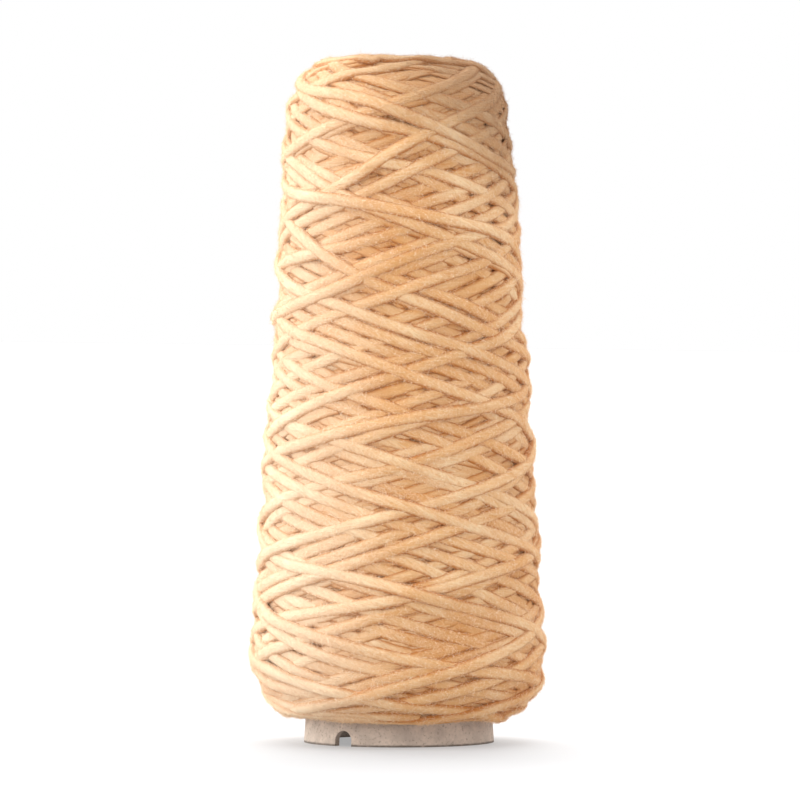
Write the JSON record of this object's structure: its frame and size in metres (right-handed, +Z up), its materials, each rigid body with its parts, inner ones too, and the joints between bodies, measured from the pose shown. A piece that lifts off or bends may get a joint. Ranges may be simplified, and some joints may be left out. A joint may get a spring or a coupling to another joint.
{
  "type": "yarn cone",
  "caption": "Thick soft yarn cross-wound on a tapered board cone; it stands on its bare foot or drops over a tapered peg, and the yarn pulls off over the nose.",
  "frame": {"origin": "centre of the board cone's foot, on the surface it stands on", "axes": "+Z up the cone's axis, towards its nose; the thread notch in the foot faces -Y"},
  "size_m": [0.0968, 0.0968, 0.233],
  "materials": {
    "board": "matt grey-brown rolled board",
    "wrap_paper": "matt grey-beige paper",
    "yarn": "soft peach-cream wool with a fine fuzz"
  },
  "bodies": {
    "root": {"board_cone": "board", "paper_wrap": "wrap_paper", "inner_yarn": "yarn", "outer_yarn": "yarn"}
  },
  "joints": []
}
